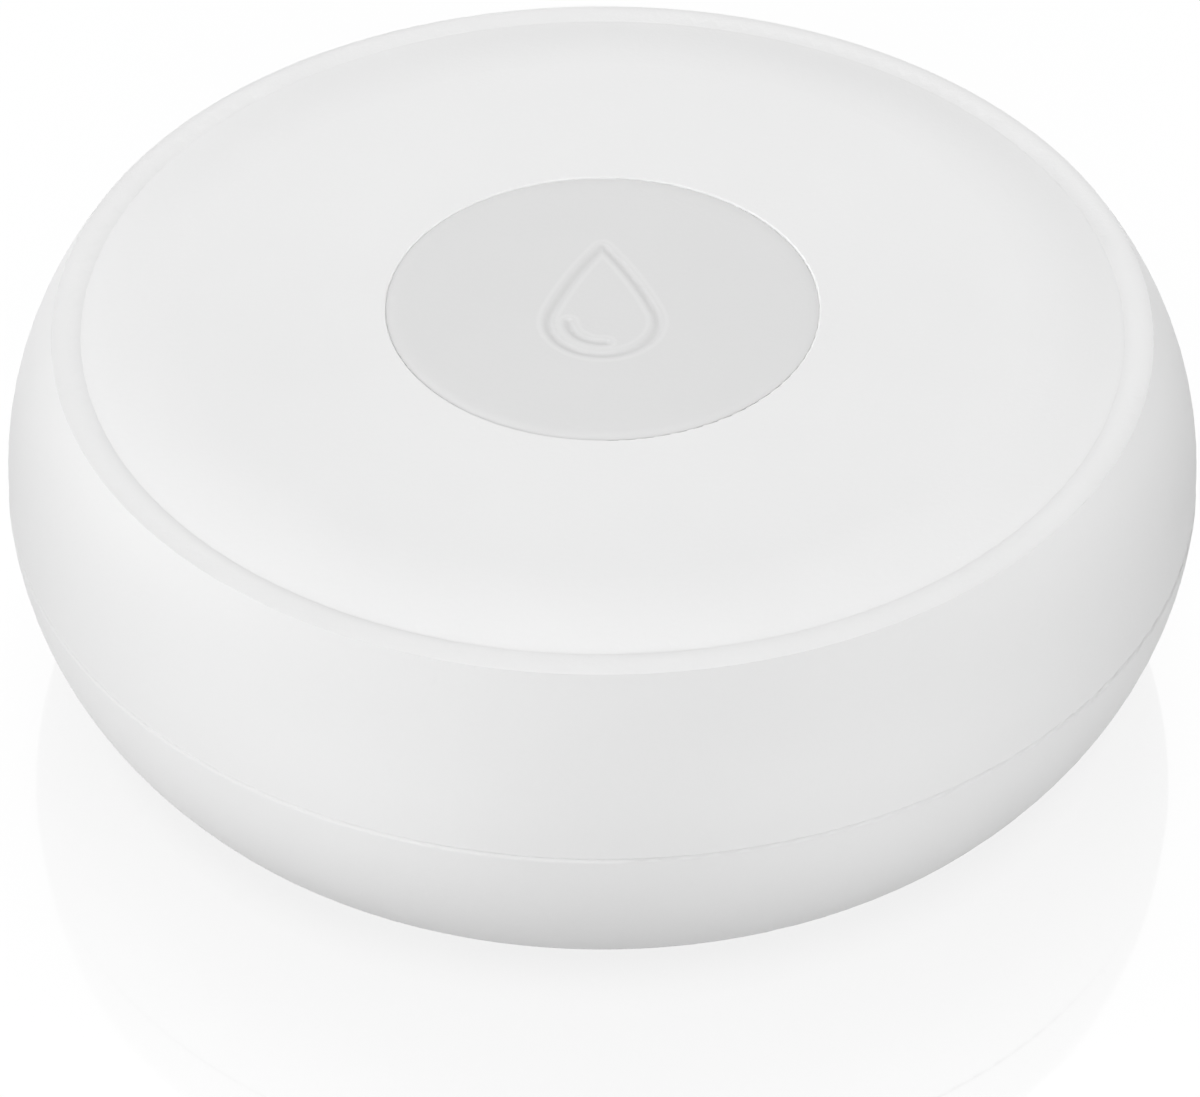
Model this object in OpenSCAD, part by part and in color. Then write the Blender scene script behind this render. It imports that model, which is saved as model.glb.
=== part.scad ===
// Round water leak sensor: a two-part barrel case with a push button in its crowned top,
// a coin cell behind a quarter-turn door in the base, and two metal probes under it.
// Origin at the centre of the surface that it stands on, +Z up, point of the drop towards +Y.

/* [Case] */
// Outside diameter at the widest line
body_d = 50; // [48:0.5:58]
// Height of the flat top above the surface it stands on
top_z = 16.7; // [16.3:0.1:18.5]
// Height of the widest line
widest_z = 9.1; // [8.9:0.1:9.5]
// Distance of the parting line below the widest line
seam_drop = 0.4; // [0.2:0.05:0.6]
// Radius of the one arc that rounds the side from base to rim
side_r = 12.5; // [12:0.1:13.5]
// Thickness of the side walls
wall = 1.8; // [1.5:0.1:2.1]
// Thickness of the top wall
top_t = 1.9; // [1.5:0.1:2.2]
// Thickness of the floor
floor_t = 1.8; // [1.6:0.1:2.1]
// How far the lower shell stands proud of the upper one at the parting line
seam_step = 0.06; // [0.04:0.01:0.1]
// Radius of the lower shell's edge at the parting line
seam_edge_r = 0.2; // [0.1:0.05:0.3]
// Radius of the edge between side and base
base_edge_r = 2.4; // [1.6:0.1:2.6]

/* [Rim] */
// Width of the raised bead around the top
rim_w = 1.2; // [0.9:0.1:1.5]
// Height of the bead above the valley beside it
rim_h = 0.12; // [0.08:0.01:0.2]
// Width of the band that falls from the flat top to that valley
crown_w = 3.9; // [2.5:0.1:5]
// How far that band falls
crown_drop = 0.5; // [0.3:0.05:0.7]

/* [Stiffening ribs] */
// Number of radial ribs under the top
rib_count = 8; // [4:1:12]
// Thickness of a rib
rib_t = 0.9; // [0.6:0.1:1.2]
// Depth of a rib
rib_h = 1.2; // [0.8:0.1:1.6]

/* [Shell joint] */
// Height of the lower shell's tongue above the parting line
tongue_h = 2.2; // [2.2:0.1:2.6]
// Thickness of the tongue
tongue_t = 1.4; // [1.2:0.1:1.6]
// Gap between the tongue and the upper shell
tongue_gap = 0.1; // [0.05:0.01:0.15]
// Thickness of the ring that seals the two shells
case_seal_d = 0.8; // [0.7:0.05:0.9]
// Height of the seal's groove above the parting line
case_groove_lift = 0.35; // [0.2:0.05:0.4]
// Radius of the snap bead near the top of the tongue
snap_r = 0.3; // [0.2:0.05:0.35]
// Land between the seal's groove and the snap bead
snap_land = 0.2; // [0.1:0.05:0.25]

/* [Feet] */
// Height of the moulded feet
foot_h = 0.5; // [0.4:0.05:0.8]
// Width of a foot
foot_w = 1.6; // [1.2:0.1:2.2]
// Number of feet around the base
foot_count = 4; // [3:1:6]
// Angle that each foot spans
foot_span = 50; // [30:1:55]
// Radius of a foot's lower edges
foot_edge_r = 0.2; // [0.1:0.05:0.3]

/* [Button] */
// Diameter of the button's opening in the top
button_hole_d = 17.9; // [16:0.1:20]
// Radius of that opening's edge
hole_edge_r = 0.1; // [0.05:0.05:0.3]
// Gap around the button
button_gap = 0.05; // [0.04:0.01:0.1]
// Thickness of the button's disc
button_t = 1.7; // [1.4:0.1:1.8]
// Radius of the button's edge
button_edge_r = 0.15; // [0.1:0.05:0.4]
// Travel of the button
button_travel = 0.35; // [0.2:0.05:0.45]
// Depth of the pocket that the button sits in
pocket_depth = 2.4; // [2.3:0.1:2.8]
// Thickness of the pocket's floor
pocket_floor_t = 1.2; // [1:0.1:1.4]
// Wall of the pocket
pocket_wall = 1.5; // [1:0.1:2]
// Diameter of the button's stem
stem_d = 4; // [3.6:0.1:4.6]
// Length of the bore that guides the stem
guide_l = 2; // [1.8:0.1:2.4]
// Wall of the guide around that bore
guide_wall = 1.4; // [1:0.1:1.8]
// Running gap between stem and guide
stem_gap = 0.05; // [0.03:0.01:0.08]
// Thickness of the stem's sealing ring
button_seal_d = 0.5; // [0.4:0.02:0.6]
// Depth of that ring's groove below the pocket's floor
button_seal_drop = 0.1; // [0.05:0.05:0.2]
// Diameter of the pegs that stop the button from turning
peg_d = 1.4; // [1:0.1:1.8]
// Reach of a peg into the pocket's floor
peg_in = 0.25; // [0.15:0.05:0.3]
// Room under a peg at the end of the button's travel
peg_room = 0.25; // [0.1:0.05:0.25]
// Distance of a peg from the button's centre
peg_r = 6.5; // [6:0.1:6.8]
// Thickness of the clip that holds the button in
clip_t = 0.4; // [0.3:0.05:0.5]
// Diameter of that clip
clip_d = 6.2; // [5.8:0.1:6.6]
// Depth of the clip's groove in the stem
clip_groove_depth = 0.45; // [0.3:0.05:0.5]
// Length of the stem below the clip
stem_tip = 0.35; // [0.3:0.05:0.5]

/* [Drop mark] */
// Radius of the drop's round end, at the middle of its groove
drop_r = 2.25; // [1.8:0.05:2.8]
// Distance from the middle of the round end to the point
drop_point = 5.2; // [4.5:0.1:6]
// Radius of the drop's slightly bowed flanks
flank_r = 20; // [14:1:40]
// Distance of the round end's middle in front of the button's centre
drop_shift = 1.15; // [0.8:0.05:1.6]
// Width of the engraved groove
groove_w = 0.36; // [0.3:0.02:0.6]
// Depth of the engraved groove
groove_depth = 0.1; // [0.05:0.05:0.3]
// Radius of the short glint arc inside the drop
glint_r = 1.4; // [1.1:0.05:1.6]
// Angle that the glint arc spans
glint_span = 95; // [60:5:120]

/* [Coin cell and door] */
// Diameter of the coin cell
cell_d = 20; // [19:0.5:21]
// Thickness of the coin cell
cell_h = 3.2; // [2.5:0.1:3.6]
// Gap around the coin cell
cell_gap = 0.4; // [0.3:0.05:0.5]
// Radius of the edge of the cell's can
cell_edge_r = 0.3; // [0.2:0.05:0.5]
// Height of the cell's negative cap above the rim of its can
cell_cap_h = 0.3; // [0.2:0.05:0.4]
// Distance of that cap from the edge of the can
cell_cap_inset = 1.1; // [0.8:0.1:1.6]
// Thickness of the door's plate
door_t = 1.6; // [1.5:0.05:1.7]
// Gap around the door
door_gap = 0.15; // [0.1:0.01:0.2]
// Radius of the edges on both sides of that gap
door_edge_r = 0.2; // [0.1:0.05:0.3]
// Thickness of the door's sealing ring
door_seal_d = 0.7; // [0.6:0.05:0.8]
// Thickness of the pad between door and cell
pad_t = 0.3; // [0.2:0.05:0.5]
// Wall of the hub that carries the door's lugs
hub_t = 0.9; // [0.8:0.1:1.1]
// Reach of the lugs beyond the hub
lug_w = 0.8; // [0.7:0.05:1]
// Height of a lug
lug_h = 0.9; // [0.7:0.1:1]
// Gap between a lug and its ledge
lug_gap = 0.1; // [0.05:0.05:0.15]
// Angle that a lug spans
lug_span = 30; // [24:1:34]
// Spare angle where a lug passes between two ledges
lug_room = 10; // [6:1:14]
// Angle that the door turns from locked to open
door_turn = 45; // [44:1:50]
// Thickness of the ledge that the lugs lock behind
ledge_t = 0.9; // [0.8:0.1:1]
// Angle that a stop spans
stop_span = 6; // [4:1:8]
// Angle between a locked lug and its stop
stop_clear = 1; // [0.5:0.5:2]
// Wall of the ring around the door
well_wall = 1.5; // [1.2:0.1:1.7]
// Width of the coin slot
slot_w = 1.8; // [1.4:0.1:2.2]
// Length of the coin slot
slot_l = 15; // [10:0.5:18]
// Depth of the coin slot
slot_depth = 0.8; // [0.6:0.1:0.9]
// Diameter of the sunk dots that show whether the door is locked
mark_d = 1.2; // [0.8:0.1:1.6]
// Depth of those dots
mark_depth = 0.25; // [0.15:0.05:0.4]
// Distance of those dots from the edges of door and opening
mark_inset = 1.3; // [1:0.1:1.6]

/* [Circuit board] */
// Thickness of the board
board_t = 1; // [0.8:0.1:1.2]
// Gap between the board's edge and the tongue
board_gap = 1.05; // [0.8:0.05:1.4]
// Space between the cell and the board for the contact spring
spring_gap = 0.6; // [0.5:0.05:0.8]
// Diameter of a standoff
standoff_d = 4; // [3.4:0.1:4.4]
// Distance of the standoffs from the board's edge
standoff_inset = 3.4; // [3:0.1:3.8]
// Thread diameter of the board screws
screw_d = 1.8; // [1.6:0.1:2]
// Head diameter of the board screws
screw_head_d = 3.4; // [3:0.1:3.8]
// Head height of the board screws
screw_head_h = 1.1; // [0.9:0.1:1.4]
// How much a screw's head narrows towards its top
screw_taper = 0.6; // [0.2:0.1:1]
// Width of the cross recess in a screw's head
recess_w = 0.5; // [0.3:0.05:0.6]
// Length of that recess
recess_l = 1.8; // [1.4:0.1:2]
// Depth of that recess
recess_depth = 0.6; // [0.4:0.1:0.8]
// Length of a board screw under its head
screw_l = 3.8; // [3.2:0.1:4.4]
// Width of the key that lines the board up
key_w = 1.8; // [1.4:0.1:2.4]
// Reach of that key into the board
key_reach = 1; // [0.8:0.1:1.4]

/* [Radio module] */
// Width of the module's own board
radio_w = 17; // [15:0.1:17.6]
// Depth of that board
radio_l = 9.5; // [8.5:0.1:10.5]
// Thickness of that board
radio_t = 0.8; // [0.6:0.1:1]
// Distance of the shield and the antenna from that board's ends
radio_edge = 1; // [0.5:0.1:1.4]
// Width of the shield
shield_w = 10.5; // [8:0.1:11]
// Depth of the shield
shield_l = 7.5; // [6:0.1:8]
// Height of the shield
shield_h = 1.9; // [1.4:0.1:2.6]
// Radius of the shield's upright edges
shield_corner_r = 0.5; // [0.3:0.1:0.8]
// Width of the ceramic antenna
antenna_w = 1.6; // [1:0.1:2]
// Length of the antenna
antenna_l = 6; // [4:0.1:7]
// Height of the antenna
antenna_h = 0.9; // [0.6:0.1:1.2]
// Distance of the module from the board's back edge
radio_inset = 2; // [1.6:0.1:3]
// Pitch of the contacts along its edges
castellation_pitch = 1.6; // [1.2:0.1:2]
// Radius of an edge contact
castellation_r = 0.35; // [0.25:0.05:0.45]
// Bare length at each end of the contact rows
castellation_margin = 1.5; // [1:0.1:2]

/* [Small components] */
// Width of the timing crystal
crystal_w = 3.2; // [2.5:0.1:3.6]
// Depth of the crystal
crystal_l = 2.5; // [2:0.1:2.8]
// Height of the crystal
crystal_h = 0.8; // [0.6:0.1:1]
// Step between the crystal's base and its lid
crystal_step = 0.25; // [0.1:0.05:0.4]
// Distance of the crystal to the right of the centre
crystal_x = 10.5; // [9.5:0.1:12]
// Distance of the crystal behind the centre
crystal_y = 4; // [3:0.1:4.4]
// Length of a reservoir capacitor
capacitor_l = 5.8; // [4.5:0.1:6.2]
// Width of a reservoir capacitor
capacitor_w = 3.2; // [2.5:0.1:3.6]
// Height of a reservoir capacitor
capacitor_h = 2.4; // [1.8:0.1:2.9]
// Distance of the capacitors to each side of the centre
capacitor_x = 10; // [9:0.1:11]
// Distance of the capacitors in front of the centre
capacitor_y = 7.5; // [7:0.1:7.8]
// Width of a chip resistor
resistor_w = 0.8; // [0.5:0.1:1]
// Length of a chip resistor
resistor_l = 1.6; // [1:0.1:1.8]
// Height of a chip resistor
resistor_h = 0.5; // [0.3:0.1:0.7]
// Number of chip resistors in the row
resistor_count = 7; // [4:1:9]
// Pitch of that row
resistor_pitch = 2; // [1.4:0.1:2.2]
// Distance of that row in front of the centre
resistor_y = 11; // [10.4:0.1:12]
// Width of the indicator light's base
led_w = 2.4; // [2:0.1:2.8]
// Depth of the indicator light's base
led_l = 2; // [1.8:0.1:2.4]
// Height of the indicator light's base
led_h = 0.7; // [0.5:0.1:1]
// Radius of the indicator light's lens
led_r = 0.8; // [0.6:0.05:0.9]
// Diameter of the light pipe
pipe_d = 2.4; // [2:0.1:2.8]
// Distance of the light pipe in front of the centre
pipe_y = 6; // [5.8:0.1:6.4]
// Gap between the light and its pipe
pipe_gap = 0.4; // [0.2:0.1:0.8]

/* [Tact switch] */
// Width of the square switch
switch_w = 6; // [5:0.1:6.4]
// Diameter of the plunger
plunger_d = 3.2; // [2.6:0.1:3.6]
// Length of the plunger above the switch's cover
plunger_out = 0.7; // [0.6:0.05:1]
// Diameter of the plunger's flange
flange_d = 3.7; // [3.7:0.1:4.4]
// Thickness of the plunger's flange
flange_t = 0.4; // [0.3:0.05:0.5]
// Thickness of the switch's cover plate
cover_t = 0.2; // [0.15:0.05:0.3]
// Height of the snap dome
dome_h = 0.55; // [0.5:0.05:0.7]
// Thickness of the snap dome
dome_t = 0.08; // [0.06:0.01:0.12]
// Gap around the plunger's flange in its well
well_gap = 0.1; // [0.06:0.02:0.14]

/* [Probes] */
// Distance between the two probes
probe_pitch = 32.8; // [32.4:0.1:34]
// Diameter of a probe's head
probe_head_d = 4.4; // [3.8:0.1:4.6]
// Diameter of a probe's shank
probe_d = 2; // [1.6:0.1:2.2]
// Height of a probe's tip above the surface the sensor stands on
probe_tip_z = 0.12; // [0.1:0.02:0.2]
// Height of a probe's head
probe_head_h = 0.9; // [0.7:0.05:1]
// Radius of the edge of a probe's contact face
probe_edge_r = 0.3; // [0.1:0.05:0.35]
// Thickness of a probe's sealing ring
probe_seal_d = 0.64; // [0.5:0.02:0.7]
// Height of the bosses around the probes, above the floor
probe_boss_h = 1.7; // [1.4:0.1:1.9]
// Wall of those bosses
probe_boss_wall = 1.3; // [1:0.1:1.5]
// Diameter of the push-on retainers
retainer_d = 4.2; // [3.6:0.1:4.5]
// Thickness of the push-on retainers
retainer_t = 0.3; // [0.2:0.05:0.4]
// Height of the springs between probes and board
probe_spring_h = 1.2; // [1:0.1:1.4]

/* [Contacts] */
// Thickness of the spring strip
strip_t = 0.15; // [0.1:0.01:0.2]
// Width of the spring strips
strip_w = 2.4; // [1.8:0.1:3]
// Length of a probe spring
probe_spring_l = 3; // [2.4:0.1:3.4]
// Length of the spring under the cell's negative side
cell_spring_l = 6; // [4:0.1:8]
// Length of the feet of the side contacts
side_foot_l = 2.4; // [1.8:0.1:3]
// Height of the cell's side that the side contacts touch
side_touch_h = 1; // [0.6:0.1:1.1]
// Angle of a side contact from the middle of the back
side_turn = 30; // [25:1:40]

/* [Clearances] */
// Gap between pieces that lie loosely against each other
touch = 0.03; // [0.02:0.01:0.04]
// Room for a sealing ring to spread in its groove
seal_room = 0.08; // [0.06:0.01:0.1]
// Gap around the screws in the standoffs
screw_gap = 0.05; // [0.03:0.01:0.1]
// Gap around the screws in the board
board_hole_gap = 0.1; // [0.06:0.01:0.2]
// Gap around the probes in the floor
probe_gap = 0.04; // [0.03:0.01:0.06]
// Gap around the heads of the probes
probe_head_gap = 0.08; // [0.05:0.01:0.12]
// Gap around the key in the board's notch
key_gap = 0.15; // [0.1:0.01:0.2]

/* [Hidden] */
$fn = 96;

// Overlap that joins two shapes of one piece, or carries a cut past a face
bite = 0.3;

body_r = body_d / 2;
arc_x = body_r - side_r;
seam_z = widest_z - seam_drop;
seam_round_x = side_x(seam_z - seam_edge_r, 0) - seam_edge_r;
base_z = foot_h;
floor_z = base_z + floor_t;
ceiling_z = top_z - top_t;
valley_z = top_z - crown_drop;
rim_r = side_x(valley_z, seam_step);
valley_r = rim_r - rim_w;
crown_r = (crown_w * crown_w + crown_drop * crown_drop) / (2 * crown_drop);
bead_r = (rim_w * rim_w / 4 + rim_h * rim_h) / (2 * rim_h);

base_round_z = base_z + base_edge_r;
base_round_x = arc_x + sqrt(pow(side_r - base_edge_r, 2) - pow(widest_z - base_round_z, 2));
base_round_turn = atan2(widest_z - base_round_z, base_round_x - arc_x);
base_side_z = widest_z - side_r * sin(base_round_turn);
foot_r = base_round_x - bite;

seal_bore_r = body_r - wall + touch;
tongue_r = seal_bore_r - tongue_gap;
tongue_in = tongue_r - tongue_t;
case_groove_r = seal_bore_r - touch - case_seal_d - touch;
case_groove_h = case_seal_d + seal_room;
case_groove_z = seam_z + case_groove_lift;
snap_z = case_groove_z + case_groove_h + snap_land + snap_r;

button_hole_r = button_hole_d / 2;
button_r = button_hole_r - button_gap;
pocket_r = button_hole_r + pocket_wall;
pocket_z = top_z - pocket_depth;
pocket_under_z = pocket_z - pocket_floor_t;
guide_z = pocket_z - guide_l;
guide_r = stem_d / 2 + stem_gap + guide_wall;
button_under_z = top_z - button_t;
button_groove_r = stem_d / 2 + stem_gap - touch - button_seal_d - touch;
button_groove_h = button_seal_d + seal_room;
button_groove_z = pocket_z - button_seal_drop - button_groove_h;
clip_z = guide_z - touch - clip_t;
clip_groove_r = stem_d / 2 - clip_groove_depth;
stem_end_z = clip_z - stem_tip;
peg_hole_depth = peg_in + button_travel + peg_room;
peg_hole_r = peg_d / 2 + button_gap;

flank_y = (pow(flank_r, 2) - pow(flank_r - drop_r, 2) - pow(drop_point, 2)) / (2 * drop_point);
flank_x = sqrt(pow(flank_r - drop_r, 2) - pow(flank_y, 2));
flank_turn = atan2(flank_y, flank_x);

cell_r = cell_d / 2;
door_in_z = base_z + door_t;
cell_z = door_in_z + pad_t + touch;
cell_top_z = cell_z + cell_h;
hub_in = cell_r + cell_gap;
hub_r = hub_in + hub_t;
door_r = hub_r + lug_w;
door_bore_r = door_r + door_gap;
ledge_in = hub_r + door_gap;
ledge_z = floor_z;
lug_z = ledge_z + ledge_t + lug_gap;
hub_top_z = lug_z + lug_h;
well_r = door_bore_r + well_wall;
lug_count = 3;
lug_pitch = 360 / lug_count;
gap_span = lug_span + lug_room;
door_groove_r = door_bore_r - door_gap / 2 - door_seal_d - touch;
door_groove_h = door_seal_d + seal_room;

board_z = cell_top_z + spring_gap;
board_top_z = board_z + board_t;
board_r = tongue_in - board_gap;
standoff_r = board_r - standoff_inset;
standoff_count = 3;
standoff_turn = 30;

switch_top_z = stem_end_z - touch - plunger_out - cover_t;
flange_z = switch_top_z - touch - flange_t;
dome_r = flange_d / 2;
dome_z = flange_z - touch - dome_h;
dome_ball_r = (dome_r * dome_r + dome_h * dome_h) / (2 * dome_h);

radio_y = board_r - radio_inset - radio_l / 2;
radio_top_z = board_top_z + radio_t;
shield_x = radio_edge - (radio_w - shield_w) / 2;
antenna_x = (radio_w - antenna_w) / 2 - radio_edge;
led_top_z = board_top_z + led_h + led_r;

probe_x = probe_pitch / 2;
probe_head_z = probe_tip_z + probe_head_h;
probe_gland_z = probe_head_z + probe_seal_d + 2 * touch;
probe_boss_r = probe_d / 2 + probe_boss_wall;
probe_boss_z = floor_z + probe_boss_h;
probe_top_z = board_z - probe_spring_h;

// Radius of the rounded side at a height, drawn in by an inset
function side_x(z, inset) = arc_x + sqrt(pow(side_r - inset, 2) - pow(z - widest_z, 2));

// Half section of the barrel, drawn in by an inset
module side_area(inset) {
    intersection() {
        union() {
            translate([arc_x, widest_z])
                circle(side_r - inset);
            translate([0, widest_z - side_r + inset])
                square([arc_x, 2 * (side_r - inset)]);
        }
        translate([0, widest_z - side_r])
            square([body_r, 2 * side_r]);
    }
}

// Half section from the axis out to a radius, between two heights
module core_area(r, z0, z1) {
    translate([0, z0])
        square([r, z1 - z0]);
}

// Half section of a ring between two radii and two heights
module ring_area(r0, r1, z0, z1) {
    translate([r0, z0])
        square([r1 - r0, z1 - z0]);
}

// Half section of a disc with a rounded lower edge, between two heights
module rounded_foot(r, edge_r, z0, z1) {
    core_area(r, z0 + edge_r, z1);
    core_area(r - edge_r, z0, z1);
    translate([r - edge_r, z0 + edge_r])
        circle(edge_r);
}

// Corner to cut from an edge in half section: its tip, how it points, and the radius that is left
module edge_corner(x, z, turn_x, turn_z, edge_r) {
    translate([x, z])
        mirror([turn_x, 0])
            mirror([0, turn_z])
                difference() {
                    translate([-bite, -bite])
                        square(edge_r + bite);
                    translate([edge_r, edge_r])
                        circle(edge_r);
                }
}

// Upright tube standing at a height
module tube(r0, r1, z0, z1) {
    rotate_extrude()
        ring_area(r0, r1, z0, z1);
}

// Round sealing ring of a section's diameter around the Z axis
module seal_ring(r_in, section_d, z) {
    rotate_extrude()
        translate([r_in + section_d / 2, z])
            circle(d = section_d);
}

// Block centred on a point, standing at a height
module block(size, x, y, z) {
    translate([x - size[0] / 2, y - size[1] / 2, z])
        cube(size);
}

// Children at both probes
module at_probes() {
    for (side = [-1, 1])
        translate([side * probe_x, 0, 0])
            children();
}

// Children at each standoff
module at_standoffs() {
    for (i = [0 : standoff_count - 1])
        rotate(standoff_turn + i * 360 / standoff_count)
            translate([standoff_r, 0, 0])
                children();
}

// Strip bent back on itself, from a contact at the bottom to a foot at the top
module bent_strip(l, h, w) {
    rotate([90, 0, 0])
        linear_extrude(w, center = true) {
            translate([0, h - strip_t])
                square([l, strip_t]);
            square([l - h, strip_t]);
            translate([0, h / 2])
                difference() {
                    circle(h / 2);
                    circle(h / 2 - strip_t);
                    translate([0, -h])
                        square([h, 2 * h]);
                }
        }
}

// Crowned top, valley and bead in half section
module crown_area() {
    intersection() {
        side_area(seam_step);
        core_area(body_r, seam_z, valley_z);
    }
    intersection() {
        union() {
            translate([valley_r - crown_w, top_z - crown_r])
                circle(crown_r);
            core_area(valley_r - crown_w, valley_z - bite, top_z);
        }
        core_area(valley_r, valley_z - bite, top_z);
    }
    intersection() {
        translate([rim_r - rim_w / 2, valley_z + rim_h - bead_r])
            circle(bead_r);
        ring_area(valley_r, rim_r, valley_z - bite, top_z);
    }
}

// Pocket for the button, its floor and the guide for the stem, in half section
module pocket_area() {
    ring_area(button_hole_r, pocket_r, pocket_under_z, ceiling_z + bite);
    core_area(pocket_r, pocket_under_z, pocket_z);
    core_area(guide_r, guide_z, pocket_z);
}

module top_shell() {
    color("whitesmoke")
        difference() {
            union() {
                rotate_extrude()
                    difference() {
                        union() {
                            difference() {
                                crown_area();
                                intersection() {
                                    side_area(wall);
                                    core_area(body_r, seam_z - bite, ceiling_z);
                                }
                                core_area(seal_bore_r, seam_z - bite, seam_z + tongue_h + 2 * touch);
                            }
                            pocket_area();
                        }
                        core_area(button_hole_r, pocket_z, top_z + bite);
                        edge_corner(button_hole_r, top_z, 0, 1, hole_edge_r);
                        core_area(stem_d / 2 + stem_gap, guide_z - bite, pocket_z + bite);
                        translate([tongue_r, snap_z])
                            circle(snap_r + touch);
                    }
                top_ribs();
            }
            for (side = [-1, 1])
                translate([side * peg_r, 0, pocket_z - peg_hole_depth])
                    cylinder(r = peg_hole_r, h = peg_hole_depth + bite);
            translate([0, -pipe_y, pocket_under_z - bite])
                cylinder(d = pipe_d + 2 * touch, h = pocket_floor_t + 2 * bite);
        }
}

// Radial ribs from the pocket to the side wall
module top_ribs() {
    rib_end = side_x(ceiling_z - rib_h, wall) + bite;
    for (i = [0 : rib_count - 1])
        rotate((i + 0.5) * 360 / rib_count)
            translate([pocket_r - bite, -rib_t / 2, ceiling_z - rib_h])
                cube([rib_end - pocket_r + bite, rib_t, rib_h + bite]);
}

// Lower half of the barrel with its rounded edges at seam and base, in half section
module lower_area() {
    intersection() {
        side_area(0);
        core_area(body_r, base_side_z, seam_z - seam_edge_r);
    }
    core_area(seam_round_x, seam_z - seam_edge_r, seam_z);
    translate([seam_round_x, seam_z - seam_edge_r])
        circle(seam_edge_r);
    translate([base_round_x, base_round_z])
        circle(base_edge_r);
    core_area(base_round_x, base_z, base_side_z);
}

module bottom_shell() {
    color("white")
        difference() {
            union() {
                rotate_extrude()
                    difference() {
                        union() {
                            difference() {
                                lower_area();
                                intersection() {
                                    side_area(wall);
                                    core_area(tongue_in, floor_z, seam_z + bite);
                                }
                            }
                            ring_area(tongue_in, tongue_r, seam_z - bite, seam_z + tongue_h);
                            translate([tongue_r, snap_z])
                                circle(snap_r);
                            ring_area(door_bore_r, well_r, floor_z - bite, hub_top_z);
                        }
                        core_area(door_bore_r, base_z - bite, floor_z + bite);
                        edge_corner(door_bore_r, base_z, 0, 0, door_edge_r);
                        ring_area(case_groove_r, body_r, case_groove_z, case_groove_z + case_groove_h);
                    }
                door_ledges();
                feet();
                board_key();
                at_standoffs()
                    translate([0, 0, floor_z - bite])
                        cylinder(d = standoff_d, h = board_z - floor_z + bite);
                at_probes()
                    translate([0, 0, floor_z - bite])
                        cylinder(r = probe_boss_r, h = probe_boss_h + bite);
            }
            at_standoffs()
                translate([0, 0, board_z - screw_l])
                    cylinder(d = screw_d + 2 * screw_gap, h = screw_l + bite);
            at_probes() {
                translate([0, 0, base_z - bite])
                    cylinder(d = probe_head_d + 2 * probe_head_gap, h = probe_gland_z - base_z + bite);
                translate([0, 0, base_z])
                    cylinder(d = probe_d + 2 * probe_gap, h = probe_boss_z - base_z + bite);
            }
            for (turn = [0, door_turn])
                lock_mark(door_bore_r + mark_inset, turn);
        }
}

// Sunk dot in the underside, at a distance from the axis and an angle from the front
module lock_mark(r, turn) {
    rotate(-turn)
        translate([0, -r, base_z - bite])
            cylinder(d = mark_d, h = mark_depth + bite);
}

// Ledges that the door's lugs lock behind, each with a stop at its locked end
module door_ledges() {
    ledge_span = lug_pitch - gap_span;
    for (i = [0 : lug_count - 1])
        rotate(i * lug_pitch) {
            rotate_extrude(angle = ledge_span, start = gap_span / 2)
                ring_area(ledge_in, door_bore_r + bite, ledge_z, ledge_z + ledge_t);
            rotate_extrude(angle = stop_span, start = door_turn + lug_span / 2 + stop_clear)
                ring_area(ledge_in, door_bore_r + bite, ledge_z, hub_top_z);
        }
}

// Moulded feet under the edge of the base
module feet() {
    for (i = [0 : foot_count - 1])
        rotate((i + 0.5) * 360 / foot_count)
            rotate_extrude(angle = foot_span, start = -foot_span / 2)
                difference() {
                    ring_area(foot_r - foot_w, foot_r, 0, base_z + bite);
                    edge_corner(foot_r - foot_w, 0, 0, 0, foot_edge_r);
                    edge_corner(foot_r, 0, 1, 0, foot_edge_r);
                }
}

// Rib inside the back wall that fits the board's notch
module board_key() {
    key_in = board_r - key_reach;
    translate([-key_w / 2, key_in, floor_z - bite])
        cube([key_w, tongue_in - key_in + bite, board_top_z - floor_z + bite]);
}

module case_seal() {
    color("dimgray")
        seal_ring(case_groove_r + touch, case_seal_d, case_groove_z + case_groove_h / 2);
}

// Drop with a round end and two bowed flanks that meet in a point, grown by an offset
module drop_area(grow) {
    circle(drop_r + grow);
    intersection() {
        flank_area(0, grow);
        flank_area(1, grow);
        translate([-drop_point, (drop_r + grow) * sin(flank_turn)])
            square(2 * drop_point);
    }
}

// Disc whose edge is one flank of the drop
module flank_area(side, grow) {
    mirror([side, 0])
        translate([-flank_x, -flank_y])
            circle(flank_r + grow);
}

// Engraved outline of the drop with a short glint inside it
module drop_groove() {
    linear_extrude(groove_depth + bite)
        difference() {
            drop_area(groove_w / 2);
            drop_area(-groove_w / 2);
        }
    rotate_extrude(angle = glint_span, start = 180)
        ring_area(glint_r - groove_w / 2, glint_r + groove_w / 2, 0, groove_depth + bite);
}

module button_cap() {
    stem_top_z = button_under_z + bite;
    color("gainsboro")
        difference() {
            union() {
                rotate_extrude() {
                    core_area(button_r - button_edge_r, button_under_z, top_z);
                    core_area(button_r, button_under_z, top_z - button_edge_r);
                    translate([button_r - button_edge_r, top_z - button_edge_r])
                        circle(button_edge_r);
                    core_area(stem_d / 2, stem_end_z, stem_top_z);
                }
                for (side = [-1, 1])
                    translate([side * peg_r, 0, pocket_z - peg_in])
                        cylinder(d = peg_d, h = stem_top_z - pocket_z + peg_in);
            }
            translate([0, -drop_shift, top_z - groove_depth])
                drop_groove();
            tube(button_groove_r, stem_d, button_groove_z, button_groove_z + button_groove_h);
            tube(clip_groove_r, stem_d, clip_z - touch, clip_z + clip_t + touch);
        }
}

module button_seal() {
    color("darkslategray")
        seal_ring(button_groove_r + touch, button_seal_d, button_groove_z + button_groove_h / 2);
}

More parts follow.
